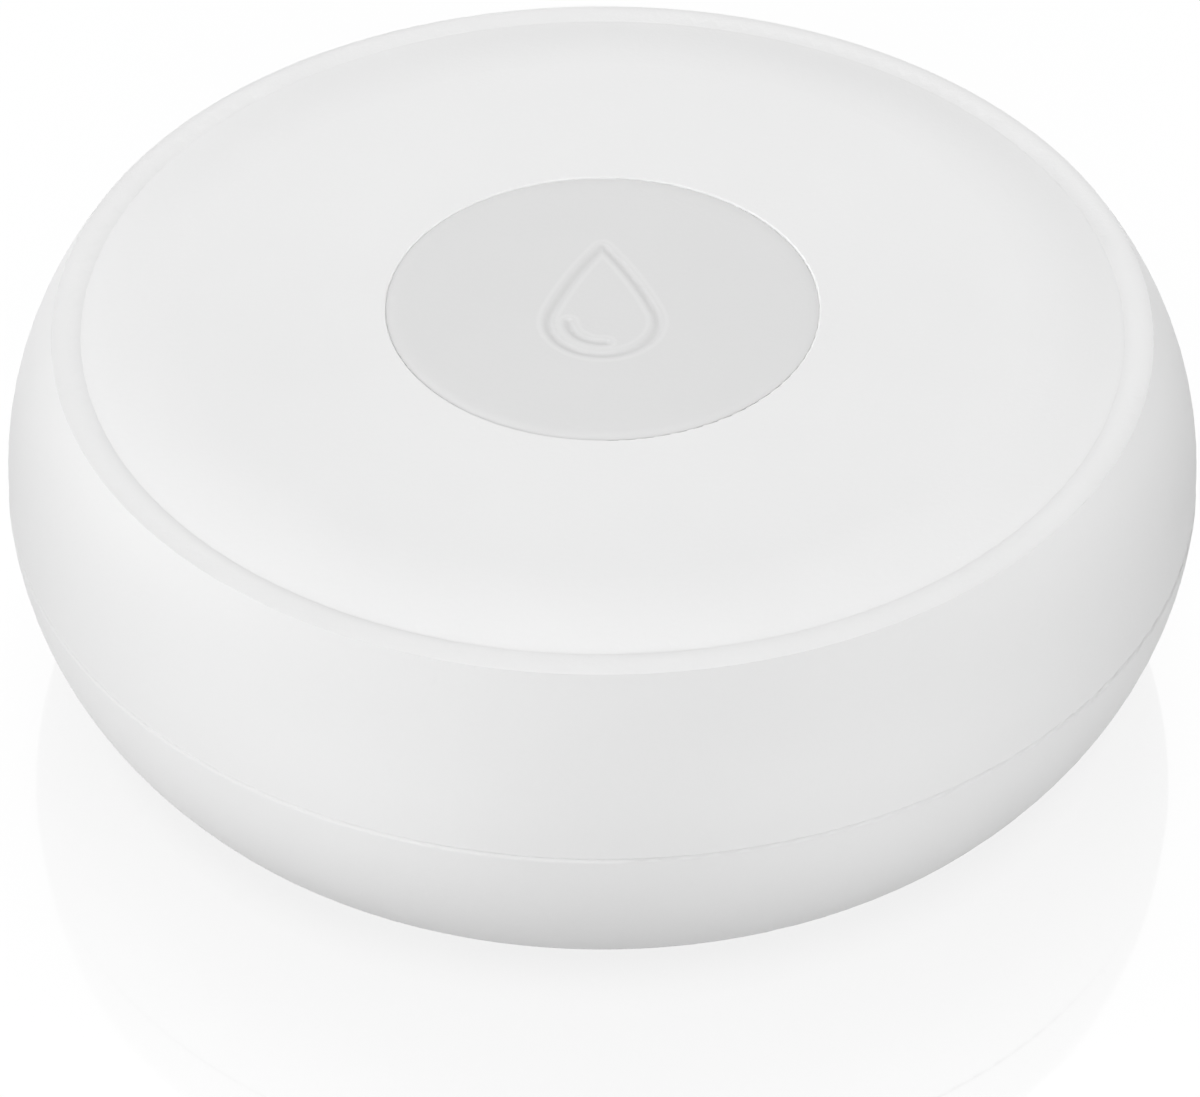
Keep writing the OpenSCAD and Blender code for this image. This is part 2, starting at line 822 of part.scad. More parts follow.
// Open ring pushed into the stem's lower groove from the side
module button_clip() {
    color("silver")
        difference() {
            tube(clip_groove_r + touch, clip_d / 2, clip_z, clip_z + clip_t);
            translate([0, -clip_groove_r, clip_z - bite])
                cube([clip_d, 2 * clip_groove_r, clip_t + 2 * bite]);
        }
}

// Round-ended coin slot
module slot_area() {
    straight = slot_l - slot_w;
    square([straight, slot_w], center = true);
    for (side = [-1, 1])
        translate([side * straight / 2, 0])
            circle(d = slot_w);
}

module battery_door() {
    groove_z = base_z + (door_t - door_groove_h) / 2;
    color("white")
        difference() {
            union() {
                rotate_extrude()
                    difference() {
                        union() {
                            core_area(door_r, base_z, door_in_z);
                            ring_area(hub_in, hub_r, door_in_z - bite, hub_top_z);
                        }
                        ring_area(door_groove_r, door_r + bite, groove_z, groove_z + door_groove_h);
                        edge_corner(door_r, base_z, 1, 0, door_edge_r);
                    }
                for (i = [0 : lug_count - 1])
                    rotate(i * lug_pitch + door_turn)
                        rotate_extrude(angle = lug_span, start = -lug_span / 2)
                            ring_area(hub_r - bite, door_r, lug_z, hub_top_z);
            }
            translate([0, 0, base_z - bite])
                linear_extrude(slot_depth + bite)
                    slot_area();
            lock_mark(door_r - mark_inset, 0);
        }
}

module door_seal() {
    color("dimgray")
        seal_ring(door_groove_r + touch, door_seal_d, base_z + door_t / 2);
}

module door_pad() {
    color("slategray")
        translate([0, 0, door_in_z])
            cylinder(r = cell_r - cell_gap, h = pad_t);
}

// Can with a rounded lower edge, and the smaller cap of the negative side on top
module coin_cell() {
    color("lightsteelblue")
        rotate_extrude() {
            rounded_foot(cell_r, cell_edge_r, cell_z, cell_top_z - cell_cap_h);
            core_area(cell_r - cell_cap_inset, cell_z, cell_top_z);
        }
}

// Angled strips under the board that press on the can's side
module cell_side_contacts() {
    arm_x = cell_r + touch;
    arm_z = cell_top_z - cell_cap_h - side_touch_h;
    color("goldenrod")
        for (side = [-1, 1])
            rotate(90 + side * side_turn)
                rotate([90, 0, 0])
                    linear_extrude(strip_w, center = true) {
                        ring_area(arm_x, arm_x + strip_t, arm_z, board_z);
                        ring_area(arm_x, arm_x + side_foot_l, board_z - strip_t, board_z);
                    }
}

module cell_spring() {
    spring_h = spring_gap - touch;
    color("goldenrod")
        translate([-cell_spring_l / 2, 0, cell_top_z + touch])
            bent_strip(cell_spring_l, spring_h, strip_w);
}

module circuit_board() {
    color("darkgreen")
        translate([0, 0, board_z])
            linear_extrude(board_t)
                difference() {
                    circle(board_r);
                    at_standoffs()
                        circle(d = screw_d + 2 * board_hole_gap);
                    translate([-key_w / 2 - key_gap, board_r - key_reach - key_gap])
                        square([key_w + 2 * key_gap, 2 * key_reach]);
                }
}

// Pan-head screws with a cross recess
module board_screws() {
    recess_z = board_top_z + screw_head_h - recess_depth;
    color("silver")
        at_standoffs()
            difference() {
                union() {
                    translate([0, 0, board_top_z])
                        cylinder(d1 = screw_head_d, d2 = screw_head_d - screw_taper, h = screw_head_h);
                    translate([0, 0, board_top_z - screw_l])
                        cylinder(d = screw_d, h = screw_l + bite);
                }
                block([recess_l, recess_w, recess_depth + bite], 0, 0, recess_z);
                block([recess_w, recess_l, recess_depth + bite], 0, 0, recess_z);
            }
}

// Small board with half-round contacts along its long edges
module radio_board() {
    contacts = floor((radio_w - 2 * castellation_margin) / castellation_pitch);
    color("seagreen")
        translate([0, radio_y, board_top_z])
            linear_extrude(radio_t)
                difference() {
                    square([radio_w, radio_l], center = true);
                    for (side = [-1, 1], i = [0 : contacts - 1])
                        translate([(i - (contacts - 1) / 2) * castellation_pitch, side * radio_l / 2])
                            circle(castellation_r);
                }
}

module radio_shield() {
    inner_w = shield_w - 2 * shield_corner_r;
    inner_l = shield_l - 2 * shield_corner_r;
    color("silver")
        translate([shield_x, radio_y, radio_top_z])
            linear_extrude(shield_h) {
                square([shield_w, inner_l], center = true);
                square([inner_w, shield_l], center = true);
                for (x = [-1, 1], y = [-1, 1])
                    translate([x * inner_w / 2, y * inner_l / 2])
                        circle(shield_corner_r);
            }
}

module radio_antenna() {
    color("ivory")
        block([antenna_w, antenna_l, antenna_h], antenna_x, radio_y, radio_top_z);
}

// Ceramic base with a smaller metal lid
module crystal() {
    lid_w = crystal_w - 2 * crystal_step;
    lid_l = crystal_l - 2 * crystal_step;
    color("lightgray") {
        block([crystal_w, crystal_l, crystal_h / 2], crystal_x, crystal_y, board_top_z);
        block([lid_w, lid_l, crystal_h], crystal_x, crystal_y, board_top_z);
    }
}

module reservoir_capacitors() {
    color("darkgoldenrod")
        for (side = [-1, 1])
            block([capacitor_l, capacitor_w, capacitor_h], side * capacitor_x, -capacitor_y, board_top_z);
}

module chip_resistors() {
    row_start = -(resistor_count - 1) / 2 * resistor_pitch;
    color("black")
        for (i = [0 : resistor_count - 1])
            translate([row_start + i * resistor_pitch, -resistor_y, board_top_z])
                block([resistor_w, resistor_l, resistor_h], 0, 0, 0);
}

// Light with a round lens on a flat base
module status_light() {
    color("lightyellow") {
        block([led_w, led_l, led_h], 0, -pipe_y, board_top_z);
        translate([0, -pipe_y, board_top_z + led_h])
            intersection() {
                sphere(led_r);
                cylinder(r = 2 * led_r, h = 2 * led_r);
            }
    }
}

module light_pipe() {
    pipe_z = led_top_z + pipe_gap;
    color("aliceblue")
        translate([0, -pipe_y, pipe_z])
            cylinder(d = pipe_d, h = pocket_z - pipe_z);
}

module switch_base() {
    color("dimgray")
        difference() {
            block([switch_w, switch_w, switch_top_z - board_top_z], 0, 0, board_top_z);
            translate([0, 0, dome_z])
                cylinder(r = dome_r + well_gap, h = switch_top_z - dome_z + bite);
        }
}

module switch_cover() {
    color("silver")
        difference() {
            block([switch_w, switch_w, cover_t], 0, 0, switch_top_z);
            translate([0, 0, switch_top_z - bite])
                cylinder(r = plunger_d / 2 + well_gap / 2, h = cover_t + 2 * bite);
        }
}

// Thin spring dome that snaps through under the plunger
module switch_dome() {
    ball_z = dome_z + dome_h - dome_ball_r;
    color("silver")
        rotate_extrude()
            intersection() {
                difference() {
                    translate([0, ball_z])
                        circle(dome_ball_r);
                    translate([0, ball_z])
                        circle(dome_ball_r - dome_t);
                }
                core_area(dome_r, dome_z, dome_z + 2 * dome_h);
            }
}

module switch_plunger() {
    color("black") {
        translate([0, 0, flange_z])
            cylinder(d = flange_d, h = flange_t);
        translate([0, 0, flange_z])
            cylinder(d = plunger_d, h = stem_end_z - touch - flange_z);
    }
}

// Headed pins with a rounded edge around the contact face
module probe_pins() {
    color("silver")
        at_probes()
            rotate_extrude() {
                rounded_foot(probe_head_d / 2, probe_edge_r, probe_tip_z, probe_head_z);
                core_area(probe_d / 2, probe_tip_z, probe_top_z);
            }
}

module probe_seals() {
    color("dimgray")
        at_probes()
            seal_ring(probe_d / 2 + touch, probe_seal_d, (probe_head_z + probe_gland_z) / 2);
}

module probe_retainers() {
    color("silver")
        at_probes()
            tube(probe_d / 2 + touch / 2, retainer_d / 2, probe_boss_z, probe_boss_z + retainer_t);
}

module probe_springs() {
    color("goldenrod")
        at_probes()
            translate([-probe_spring_l / 2 + probe_spring_h / 2, 0, probe_top_z])
                bent_strip(probe_spring_l, probe_spring_h, strip_w);
}

top_shell();
bottom_shell();
case_seal();
button_cap();
button_seal();
button_clip();
battery_door();
door_seal();
door_pad();
coin_cell();
cell_side_contacts();
cell_spring();
circuit_board();
board_screws();
radio_board();
radio_shield();
radio_antenna();
crystal();
reservoir_capacitors();
chip_resistors();
status_light();
light_pipe();
switch_base();
switch_cover();
switch_dome();
switch_plunger();
probe_pins();
probe_seals();
probe_retainers();
probe_springs();
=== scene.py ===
import math

import bmesh
import bpy
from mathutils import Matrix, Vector


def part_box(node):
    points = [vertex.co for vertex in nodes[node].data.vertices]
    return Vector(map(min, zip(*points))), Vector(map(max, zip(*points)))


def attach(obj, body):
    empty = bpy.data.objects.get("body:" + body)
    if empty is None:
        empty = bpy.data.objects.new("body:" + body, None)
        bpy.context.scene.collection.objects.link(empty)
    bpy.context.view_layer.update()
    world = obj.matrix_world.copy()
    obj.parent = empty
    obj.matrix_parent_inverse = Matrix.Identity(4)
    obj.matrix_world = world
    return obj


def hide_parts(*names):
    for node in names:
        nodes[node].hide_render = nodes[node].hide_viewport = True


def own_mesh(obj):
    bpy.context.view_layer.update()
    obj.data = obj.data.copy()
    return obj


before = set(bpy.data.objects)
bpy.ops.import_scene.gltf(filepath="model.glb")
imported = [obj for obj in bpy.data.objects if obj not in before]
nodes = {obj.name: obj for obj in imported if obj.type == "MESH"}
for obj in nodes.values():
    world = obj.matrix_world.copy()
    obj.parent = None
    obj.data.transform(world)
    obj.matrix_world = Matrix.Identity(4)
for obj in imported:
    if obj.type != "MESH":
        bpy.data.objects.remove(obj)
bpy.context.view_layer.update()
mm = 0.001
print("frame loaded,", len(nodes), "CAD nodes")


# sRGB hex to the linear values that the sockets take
def linear(hexColour):
    channels = [int(hexColour[i:i + 2], 16) / 255 for i in (1, 3, 5)]
    flat = [c / 12.92 if c <= 0.04045 else ((c + 0.055) / 1.055) ** 2.4 for c in channels]
    return (*flat, 1.0)


# adds a node, sets its properties, and fills its inputs with values or links
def addNode(tree, kind, inputs=None, **settings):
    node = tree.nodes.new(kind)
    for name, value in settings.items():
        setattr(node, name, value)
    for key, value in (inputs or {}).items():
        socket = node.inputs[key]
        if isinstance(value, bpy.types.NodeSocket):
            tree.links.new(value, socket)
        else:
            socket.default_value = value
    return node


# one step of arithmetic in any tree
def calc(tree, kind, first, second=0.0, third=0.0, clamp=False):
    inputs = {0: first, 1: second, 2: third}
    return addNode(tree, "ShaderNodeMath", inputs, operation=kind, use_clamp=clamp).outputs[0]


# the X, Y and Z of a vector
def split(tree, vector):
    return addNode(tree, "ShaderNodeSeparateXYZ", {"Vector": vector}).outputs


# how far a point is from the axis that X and Y are measured from
def radius(tree, x, y):
    flat = addNode(tree, "ShaderNodeCombineXYZ", {"X": x, "Y": y}).outputs["Vector"]
    return addNode(tree, "ShaderNodeVectorMath", {0: flat}, operation="LENGTH").outputs["Value"]


# a material with its shader, whose constants sit on the shader's own sockets
def startMaterial(name, **sockets):
    made = bpy.data.materials.new(name)
    made.use_nodes = True
    tree = made.node_tree
    shader = tree.nodes["Principled BSDF"]
    for socket, value in sockets.items():
        shader.inputs[socket.replace("_", " ")].default_value = value
    place = addNode(tree, "ShaderNodeTexCoord").outputs["Object"]
    return made, tree, shader, place


# noise whose lumps have a size in millimetres, spread from its usual span over two values
noiseSpan = {"From Min": 0.3, "From Max": 0.7}


def lumps(tree, place, size, low=0.0, high=1.0, detail=2.0):
    inputs = {"Vector": place, "Scale": 1 / (size * mm), "Detail": detail}
    noise = addNode(tree, "ShaderNodeTexNoise", inputs).outputs["Fac"]
    spread = noiseSpan | {"Value": noise, "To Min": low, "To Max": high}
    return addNode(tree, "ShaderNodeMapRange", spread).outputs["Result"]


# mix of two colours, or of a socket and a colour, by a factor socket
def blendColours(tree, factor, first, second):
    inputs = {"Factor": factor, 6: first, 7: second}
    return addNode(tree, "ShaderNodeMix", inputs, data_type="RGBA").outputs[2]


# links colour, gloss, a bump and, where given, a shading normal to the shader
# a height that isn't in millimetres yet comes with the depth of its full span
def dressShader(tree, shader, paint, gloss, height, depth=1.0, facing=None):
    tree.links.new(paint, shader.inputs["Base Color"])
    if gloss:
        tree.links.new(gloss, shader.inputs["Roughness"])
    bump = addNode(tree, "ShaderNodeBump", {"Height": height, "Distance": depth * mm, "Strength": 1.0})
    if facing:
        tree.links.new(facing, bump.inputs["Normal"])
    tree.links.new(bump.outputs["Normal"], shader.inputs["Normal"])


# moulded ABS with a fine spark-eroded mould surface: an even matt white with hardly any highlight
# its real grain is about 0.03 mm, drawn coarser so that it shows
absSize = {"tone": 14.0, "satin": 2.5, "grain": 0.22, "depth": 0.0035}
caseLook = {"colour": "#F1F1F1", "shade": "#EFEFEF", "low": 0.5, "high": 0.58,
            "beadR": 22.11, "beadHalf": 0.6, "beadSoften": 0.08, "beadZ": 15.0,
            "seamR": 24.6, "seamLow": 8.48, "seamRise": 0.22, "seamSlope": 0.9}
# the button's groove colour is painted shade in the drop, and its lip colour is a painted highlight on the
# drop's lips
buttonLook = {"colour": "#E3E3E3", "shade": "#E1E1E1", "low": 0.52, "high": 0.6,
              "groove": "#DADADA", "lip": "#E6E6E6"}


# softens the rim's bead, which reads flatter in the photo than its modelled height
def softenBead(tree, parts, reach, look, height):
    away = calc(tree, "SUBTRACT", reach, look["beadR"] * mm)
    across = calc(tree, "DIVIDE", away, look["beadHalf"] * mm)
    bow = calc(tree, "SUBTRACT", 1.0, calc(tree, "MULTIPLY", across, across), clamp=True)
    onTop = calc(tree, "GREATER_THAN", parts["Z"], look["beadZ"] * mm)
    soften = calc(tree, "MULTIPLY", calc(tree, "MULTIPLY", bow, onTop), look["beadSoften"])
    return calc(tree, "SUBTRACT", height, soften)


# gives the small round at the parting line the shading of one even, gentle slope all around
# climb goes from 0 at the foot of the round to 1 at its top
def evenSeam(tree, parts, reach, look):
    fromLow = calc(tree, "SUBTRACT", parts["Z"], look["seamLow"] * mm)
    climb = calc(tree, "DIVIDE", fromLow, look["seamRise"] * mm)
    onRound = calc(tree, "COMPARE", climb, 0.5, 0.5)
    onWall = calc(tree, "GREATER_THAN", reach, look["seamR"] * mm)
    lean = calc(tree, "MULTIPLY", calc(tree, "MULTIPLY", climb, look["seamSlope"]), reach)
    leaning = {"X": parts["X"], "Y": parts["Y"], "Z": lean}
    slope = addNode(tree, "ShaderNodeCombineXYZ", leaning).outputs["Vector"]
    toWorld = {"vector_type": "NORMAL", "convert_from": "OBJECT", "convert_to": "WORLD"}
    inWorld = addNode(tree, "ShaderNodeVectorTransform", {"Vector": slope}, **toWorld).outputs["Vector"]
    outward = addNode(tree, "ShaderNodeVectorMath", {0: inWorld}, operation="NORMALIZE").outputs["Vector"]
    meshNormal = addNode(tree, "ShaderNodeNewGeometry").outputs["Normal"]
    pick = {"Factor": calc(tree, "MULTIPLY", onRound, onWall), 4: meshNormal, 5: outward}
    return addNode(tree, "ShaderNodeMix", pick, data_type="VECTOR").outputs[1]


def mouldedAbs(name, look):
    made, tree, shader, place = startMaterial(name, IOR=1.53, Specular_IOR_Level=0.1)
    tone = lumps(tree, place, absSize["tone"])
    paint = blendColours(tree, tone, linear(look["colour"]), linear(look["shade"]))
    if "groove" in look:
        # painted shade darkens the groove of the pressed drop, and a painted highlight lightens its lips
        sunk = addNode(tree, "ShaderNodeAttribute", attribute_name="grooveShadeAndLipHighlight").outputs["Fac"]
        paintedGrooveShade = calc(tree, "MULTIPLY", sunk, -1.0, clamp=True)
        paintedLipHighlight = calc(tree, "MULTIPLY", sunk, 1.0, clamp=True)
        paint = blendColours(tree, paintedGrooveShade, paint, linear(look["groove"]))
        paint = blendColours(tree, paintedLipHighlight, paint, linear(look["lip"]))
    gloss = lumps(tree, place, absSize["satin"], look["low"], look["high"])
    height = lumps(tree, place, absSize["grain"], 0.0, absSize["depth"])
    facing = None
    if "beadR" in look:
        parts = split(tree, place)
        reach = radius(tree, parts["X"], parts["Y"])
        height = softenBead(tree, parts, reach, look, height)
        facing = evenSeam(tree, parts, reach, look)
    dressShader(tree, shader, paint, gloss, height, facing=facing)
    return made


# moulded silicone: dull, with a little bloom of paler dust
siliconeLook = {"colour": "#2A2B2D", "shade": "#35363A", "bloom": 1.2, "satin": 0.5, "low": 0.55, "high": 0.7,
                "grain": 0.15, "depth": 0.004}


def mouldedSilicone(look):
    made, tree, shader, place = startMaterial("mouldedSilicone", IOR=1.41)
    bloom = lumps(tree, place, look["bloom"])
    paint = blendColours(tree, bloom, linear(look["colour"]), linear(look["shade"]))
    gloss = lumps(tree, place, look["satin"], look["low"], look["high"])
    dressShader(tree, shader, paint, gloss, lumps(tree, place, look["grain"]), look["depth"])
    return made


# closed-cell foam: a cut skin of tiny pits
foamLook = {"colour": "#3F4247", "shade": "#575B61", "cell": 0.25, "depth": 0.05}


def closedCellFoam(look):
    made, tree, shader, place = startMaterial("closedCellFoam", IOR=1.45, Roughness=0.92)
    inputs = {"Vector": place, "Scale": 1 / (look["cell"] * mm)}
    cells = addNode(tree, "ShaderNodeTexVoronoi", inputs).outputs["Distance"]
    paint = blendColours(tree, cells, linear(look["colour"]), linear(look["shade"]))
    dressShader(tree, shader, paint, None, cells, look["depth"])
    return made


# bright metal with fine drawn or rolled lines along one axis
metalSize = {"streak": 0.12, "satin": 0.8, "depth": 0.002, "detail": 3.0}
metalLooks = {
    "stampedSpringSteel": {"colour": "#B9BABB", "shade": "#A9AAAC", "low": 0.22, "high": 0.34,
                           "lines": (8, 1, 1)},
    "goldFlashedStrip": {"colour": "#D9B166", "shade": "#C99F52", "low": 0.2, "high": 0.3,
                         "lines": (1, 8, 1)},
    "tinPlatedSheet": {"colour": "#C6C5C0", "shade": "#B7B6B1", "low": 0.28, "high": 0.4,
                       "lines": (1, 6, 1)},
    "nickelPlatedCan": {"colour": "#CFCFCC", "shade": "#C2C2BF", "low": 0.18, "high": 0.28,
                        "lines": (1, 1, 6)},
    "zincPlatedSteel": {"colour": "#BFC2C6", "shade": "#AEB1B6", "low": 0.3, "high": 0.42,
                        "lines": (1, 1, 8)},
}


def rolledMetal(name, look):
    made, tree, shader, place = startMaterial(name, Metallic=1.0)
    lines = addNode(tree, "ShaderNodeMapping", {"Vector": place, "Scale": look["lines"]}).outputs["Vector"]
    streak = lumps(tree, lines, metalSize["streak"], detail=metalSize["detail"])
    paint = blendColours(tree, streak, linear(look["colour"]), linear(look["shade"]))
    gloss = lumps(tree, place, metalSize["satin"], look["low"], look["high"])
    dressShader(tree, shader, paint, gloss, streak, metalSize["depth"])
    return made


# turned stainless steel: fine rings around each pin's own axis
pinLow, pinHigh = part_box("probe_pins")
pinLook = {"colour": "#C9CACB", "shade": "#BDBEC0", "pitch": 0.09, "satin": 0.6, "low": 0.2, "high": 0.3,
           "depth": 0.0015, "x": pinHigh.x - (pinHigh.y - pinLow.y) / 2}


def turnedStainless(look):
    made, tree, shader, place = startMaterial("turnedStainless", Metallic=1.0)
    parts = split(tree, place)
    across = calc(tree, "SUBTRACT", calc(tree, "ABSOLUTE", parts["X"]), look["x"])
    reach = radius(tree, across, parts["Y"])
    ring = calc(tree, "SINE", calc(tree, "MULTIPLY", reach, 2 * math.pi / (look["pitch"] * mm)))
    half = calc(tree, "MULTIPLY_ADD", ring, 0.5, 0.5)
    paint = blendColours(tree, half, linear(look["colour"]), linear(look["shade"]))
    gloss = lumps(tree, place, look["satin"], look["low"], look["high"])
    dressShader(tree, shader, paint, gloss, half, look["depth"])
    return made


# solder mask over copper: gloss lacquer, paler and raised where tracks run below it
maskSize = {"field": 3.2, "pitch": 0.62, "share": 0.42, "depth": 0.02}
boardMask = {"mask": "#1B5A35", "track": "#2A7146"}
radioMask = {"mask": "#174A30", "track": "#235F40"}


def solderMask(name, look):
    made, tree, shader, place = startMaterial(name, IOR=1.5, Roughness=0.28)
    inputs = {"Vector": place, "Scale": 1 / (maskSize["field"] * mm)}
    fields = addNode(tree, "ShaderNodeTexVoronoi", inputs, distance="CHEBYCHEV").outputs["Color"]
    pick = addNode(tree, "ShaderNodeSeparateColor", {"Color": fields}).outputs["Red"]
    turn = calc(tree, "GREATER_THAN", pick, 0.5)
    parts = split(tree, place)
    run = addNode(tree, "ShaderNodeMix", {"Factor": turn, 2: parts["X"], 3: parts["Y"]}).outputs[0]
    saw = calc(tree, "FRACT", calc(tree, "DIVIDE", run, maskSize["pitch"] * mm))
    tracks = calc(tree, "LESS_THAN", saw, maskSize["share"])
    paint = blendColours(tree, tracks, linear(look["mask"]), linear(look["track"]))
    dressShader(tree, shader, paint, None, tracks, maskSize["depth"])
    return made


# moulded epoxy and fired ceramic: fine mineral speckle in a matt body, with tinned ends where asked
chipSize = {"detail": 4.0, "satin": 3.0, "depth": 0.006, "tin": "#C9C8C3"}
resistorLow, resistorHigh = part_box("chip_resistors")
resistorEnds = {"axis": "Y", "half": (resistorHigh.y - resistorLow.y) / 2, "cap": 0.28 * mm,
                "middle": -(resistorHigh.y + resistorLow.y) / 2}
capacitorHalf = 2.9 * mm
capacitorEnds = {"axis": "X", "half": capacitorHalf, "cap": 0.5 * mm,
                 "middle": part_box("reservoir_capacitors")[1].x - capacitorHalf}
nylonLook = {"colour": "#26272A", "shade": "#1D1E20", "grain": 0.08, "low": 0.5, "high": 0.65}
ceramicLook = {"colour": "#E6DFCF", "shade": "#DBD3C1", "grain": 0.1, "low": 0.4, "high": 0.55}
epoxyLook = {"colour": "#B58A4C", "shade": "#A57C40", "grain": 0.12, "low": 0.45, "high": 0.6,
             "ends": capacitorEnds}
glazeLook = {"colour": "#232427", "shade": "#1B1C1E", "grain": 0.08, "low": 0.35, "high": 0.5,
             "ends": resistorEnds}


def speckled(name, look):
    made, tree, shader, place = startMaterial(name, IOR=1.5)
    specks = lumps(tree, place, look["grain"], detail=chipSize["detail"])
    paint = blendColours(tree, specks, linear(look["colour"]), linear(look["shade"]))
    if "ends" in look:
        ends = look["ends"]
        along = split(tree, place)[ends["axis"]]
        away = calc(tree, "ABSOLUTE", calc(tree, "SUBTRACT", calc(tree, "ABSOLUTE", along), ends["middle"]))
        tinned = calc(tree, "GREATER_THAN", away, ends["half"] - ends["cap"])
        paint = blendColours(tree, tinned, paint, linear(chipSize["tin"]))
        tree.links.new(tinned, shader.inputs["Metallic"])
    gloss = lumps(tree, place, chipSize["satin"] * look["grain"], look["low"], look["high"])
    dressShader(tree, shader, paint, gloss, specks, chipSize["depth"])
    return made


# clear moulded acrylic with faint flow lines, on a white moulded base where one is below it
acrylicLook = {"colour": "#F4F8FA", "shade": "#E9F0F3", "base": "#EDEBE4", "flow": 0.9, "satin": 0.5,
               "low": 0.04, "high": 0.1, "depth": 0.002}


def clearAcrylic(name, look, baseZ):
    made, tree, shader, place = startMaterial(name, IOR=1.49)
    flow = lumps(tree, place, look["flow"])
    paint = blendColours(tree, flow, linear(look["colour"]), linear(look["shade"]))
    clear = calc(tree, "GREATER_THAN", split(tree, place)["Z"], baseZ)
    paint = blendColours(tree, clear, linear(look["base"]), paint)
    tree.links.new(clear, shader.inputs["Transmission Weight"])
    gloss = lumps(tree, place, look["satin"], look["low"], look["high"])
    dressShader(tree, shader, paint, gloss, flow, look["depth"])
    return made


caseAbs = mouldedAbs("caseAbs", caseLook)
buttonAbs = mouldedAbs("buttonAbs", buttonLook)
silicone = mouldedSilicone(siliconeLook)
metals = {name: rolledMetal(name, look) for name, look in metalLooks.items()}
springSteel = metals["stampedSpringSteel"]
goldStrip = metals["goldFlashedStrip"]
tinPlate = metals["tinPlatedSheet"]
switchNylon = speckled("glassFilledNylon", nylonLook)
lightBaseH = 0.7 * mm
finishes = {
    "top_shell": caseAbs, "bottom_shell": caseAbs, "battery_door": caseAbs, "button_cap": buttonAbs,
    "case_seal": silicone, "button_seal": silicone, "door_seal": silicone, "probe_seals": silicone,
    "door_pad": closedCellFoam(foamLook),
    "button_clip": springSteel, "switch_dome": springSteel, "probe_retainers": springSteel,
    "coin_cell": metals["nickelPlatedCan"],
    "probe_pins": turnedStainless(pinLook),
    "cell_side_contacts": goldStrip, "cell_spring": goldStrip, "probe_springs": goldStrip,
    "circuit_board": solderMask("greenSolderMask", boardMask),
    "radio_board": solderMask("darkSolderMask", radioMask),
    "board_screws": metals["zincPlatedSteel"],
    "radio_shield": tinPlate, "crystal": tinPlate, "switch_cover": tinPlate,
    "radio_antenna": speckled("firedCeramic", ceramicLook),
    "reservoir_capacitors": speckled("mouldedTanEpoxy", epoxyLook),
    "chip_resistors": speckled("resistorGlaze", glazeLook),
    "switch_base": switchNylon, "switch_plunger": switchNylon,
    "status_light": clearAcrylic("lightLens", acrylicLook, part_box("status_light")[0].z + lightBaseH),
    "light_pipe": clearAcrylic("lightPipe", acrylicLook, 0.0),
}
for node, finish in finishes.items():
    for slot in nodes[node].material_slots:
        slot.material = finish
print("materials on", len(finishes), "nodes")


# a tree that spins a section around Z, forms a thread and a cross recess where asked, and sets copies
# around a circle
turning = {"seam": 0.0005, "smooth": 35, "steps": 96}
turningInputs = {
    "Geometry": "Geometry", "Steps": "Int", "Thread Depth": "Float", "Thread Pitch": "Float",
    "Thread Low": "Float", "Thread High": "Float", "Recess Width": "Float", "Recess Length": "Float",
    "Recess Depth": "Float", "Recess Taper": "Float", "Recess Top": "Float", "Copies": "Int",
    "Spread": "Float", "Turn": "Float", "Finish": "Material",
}


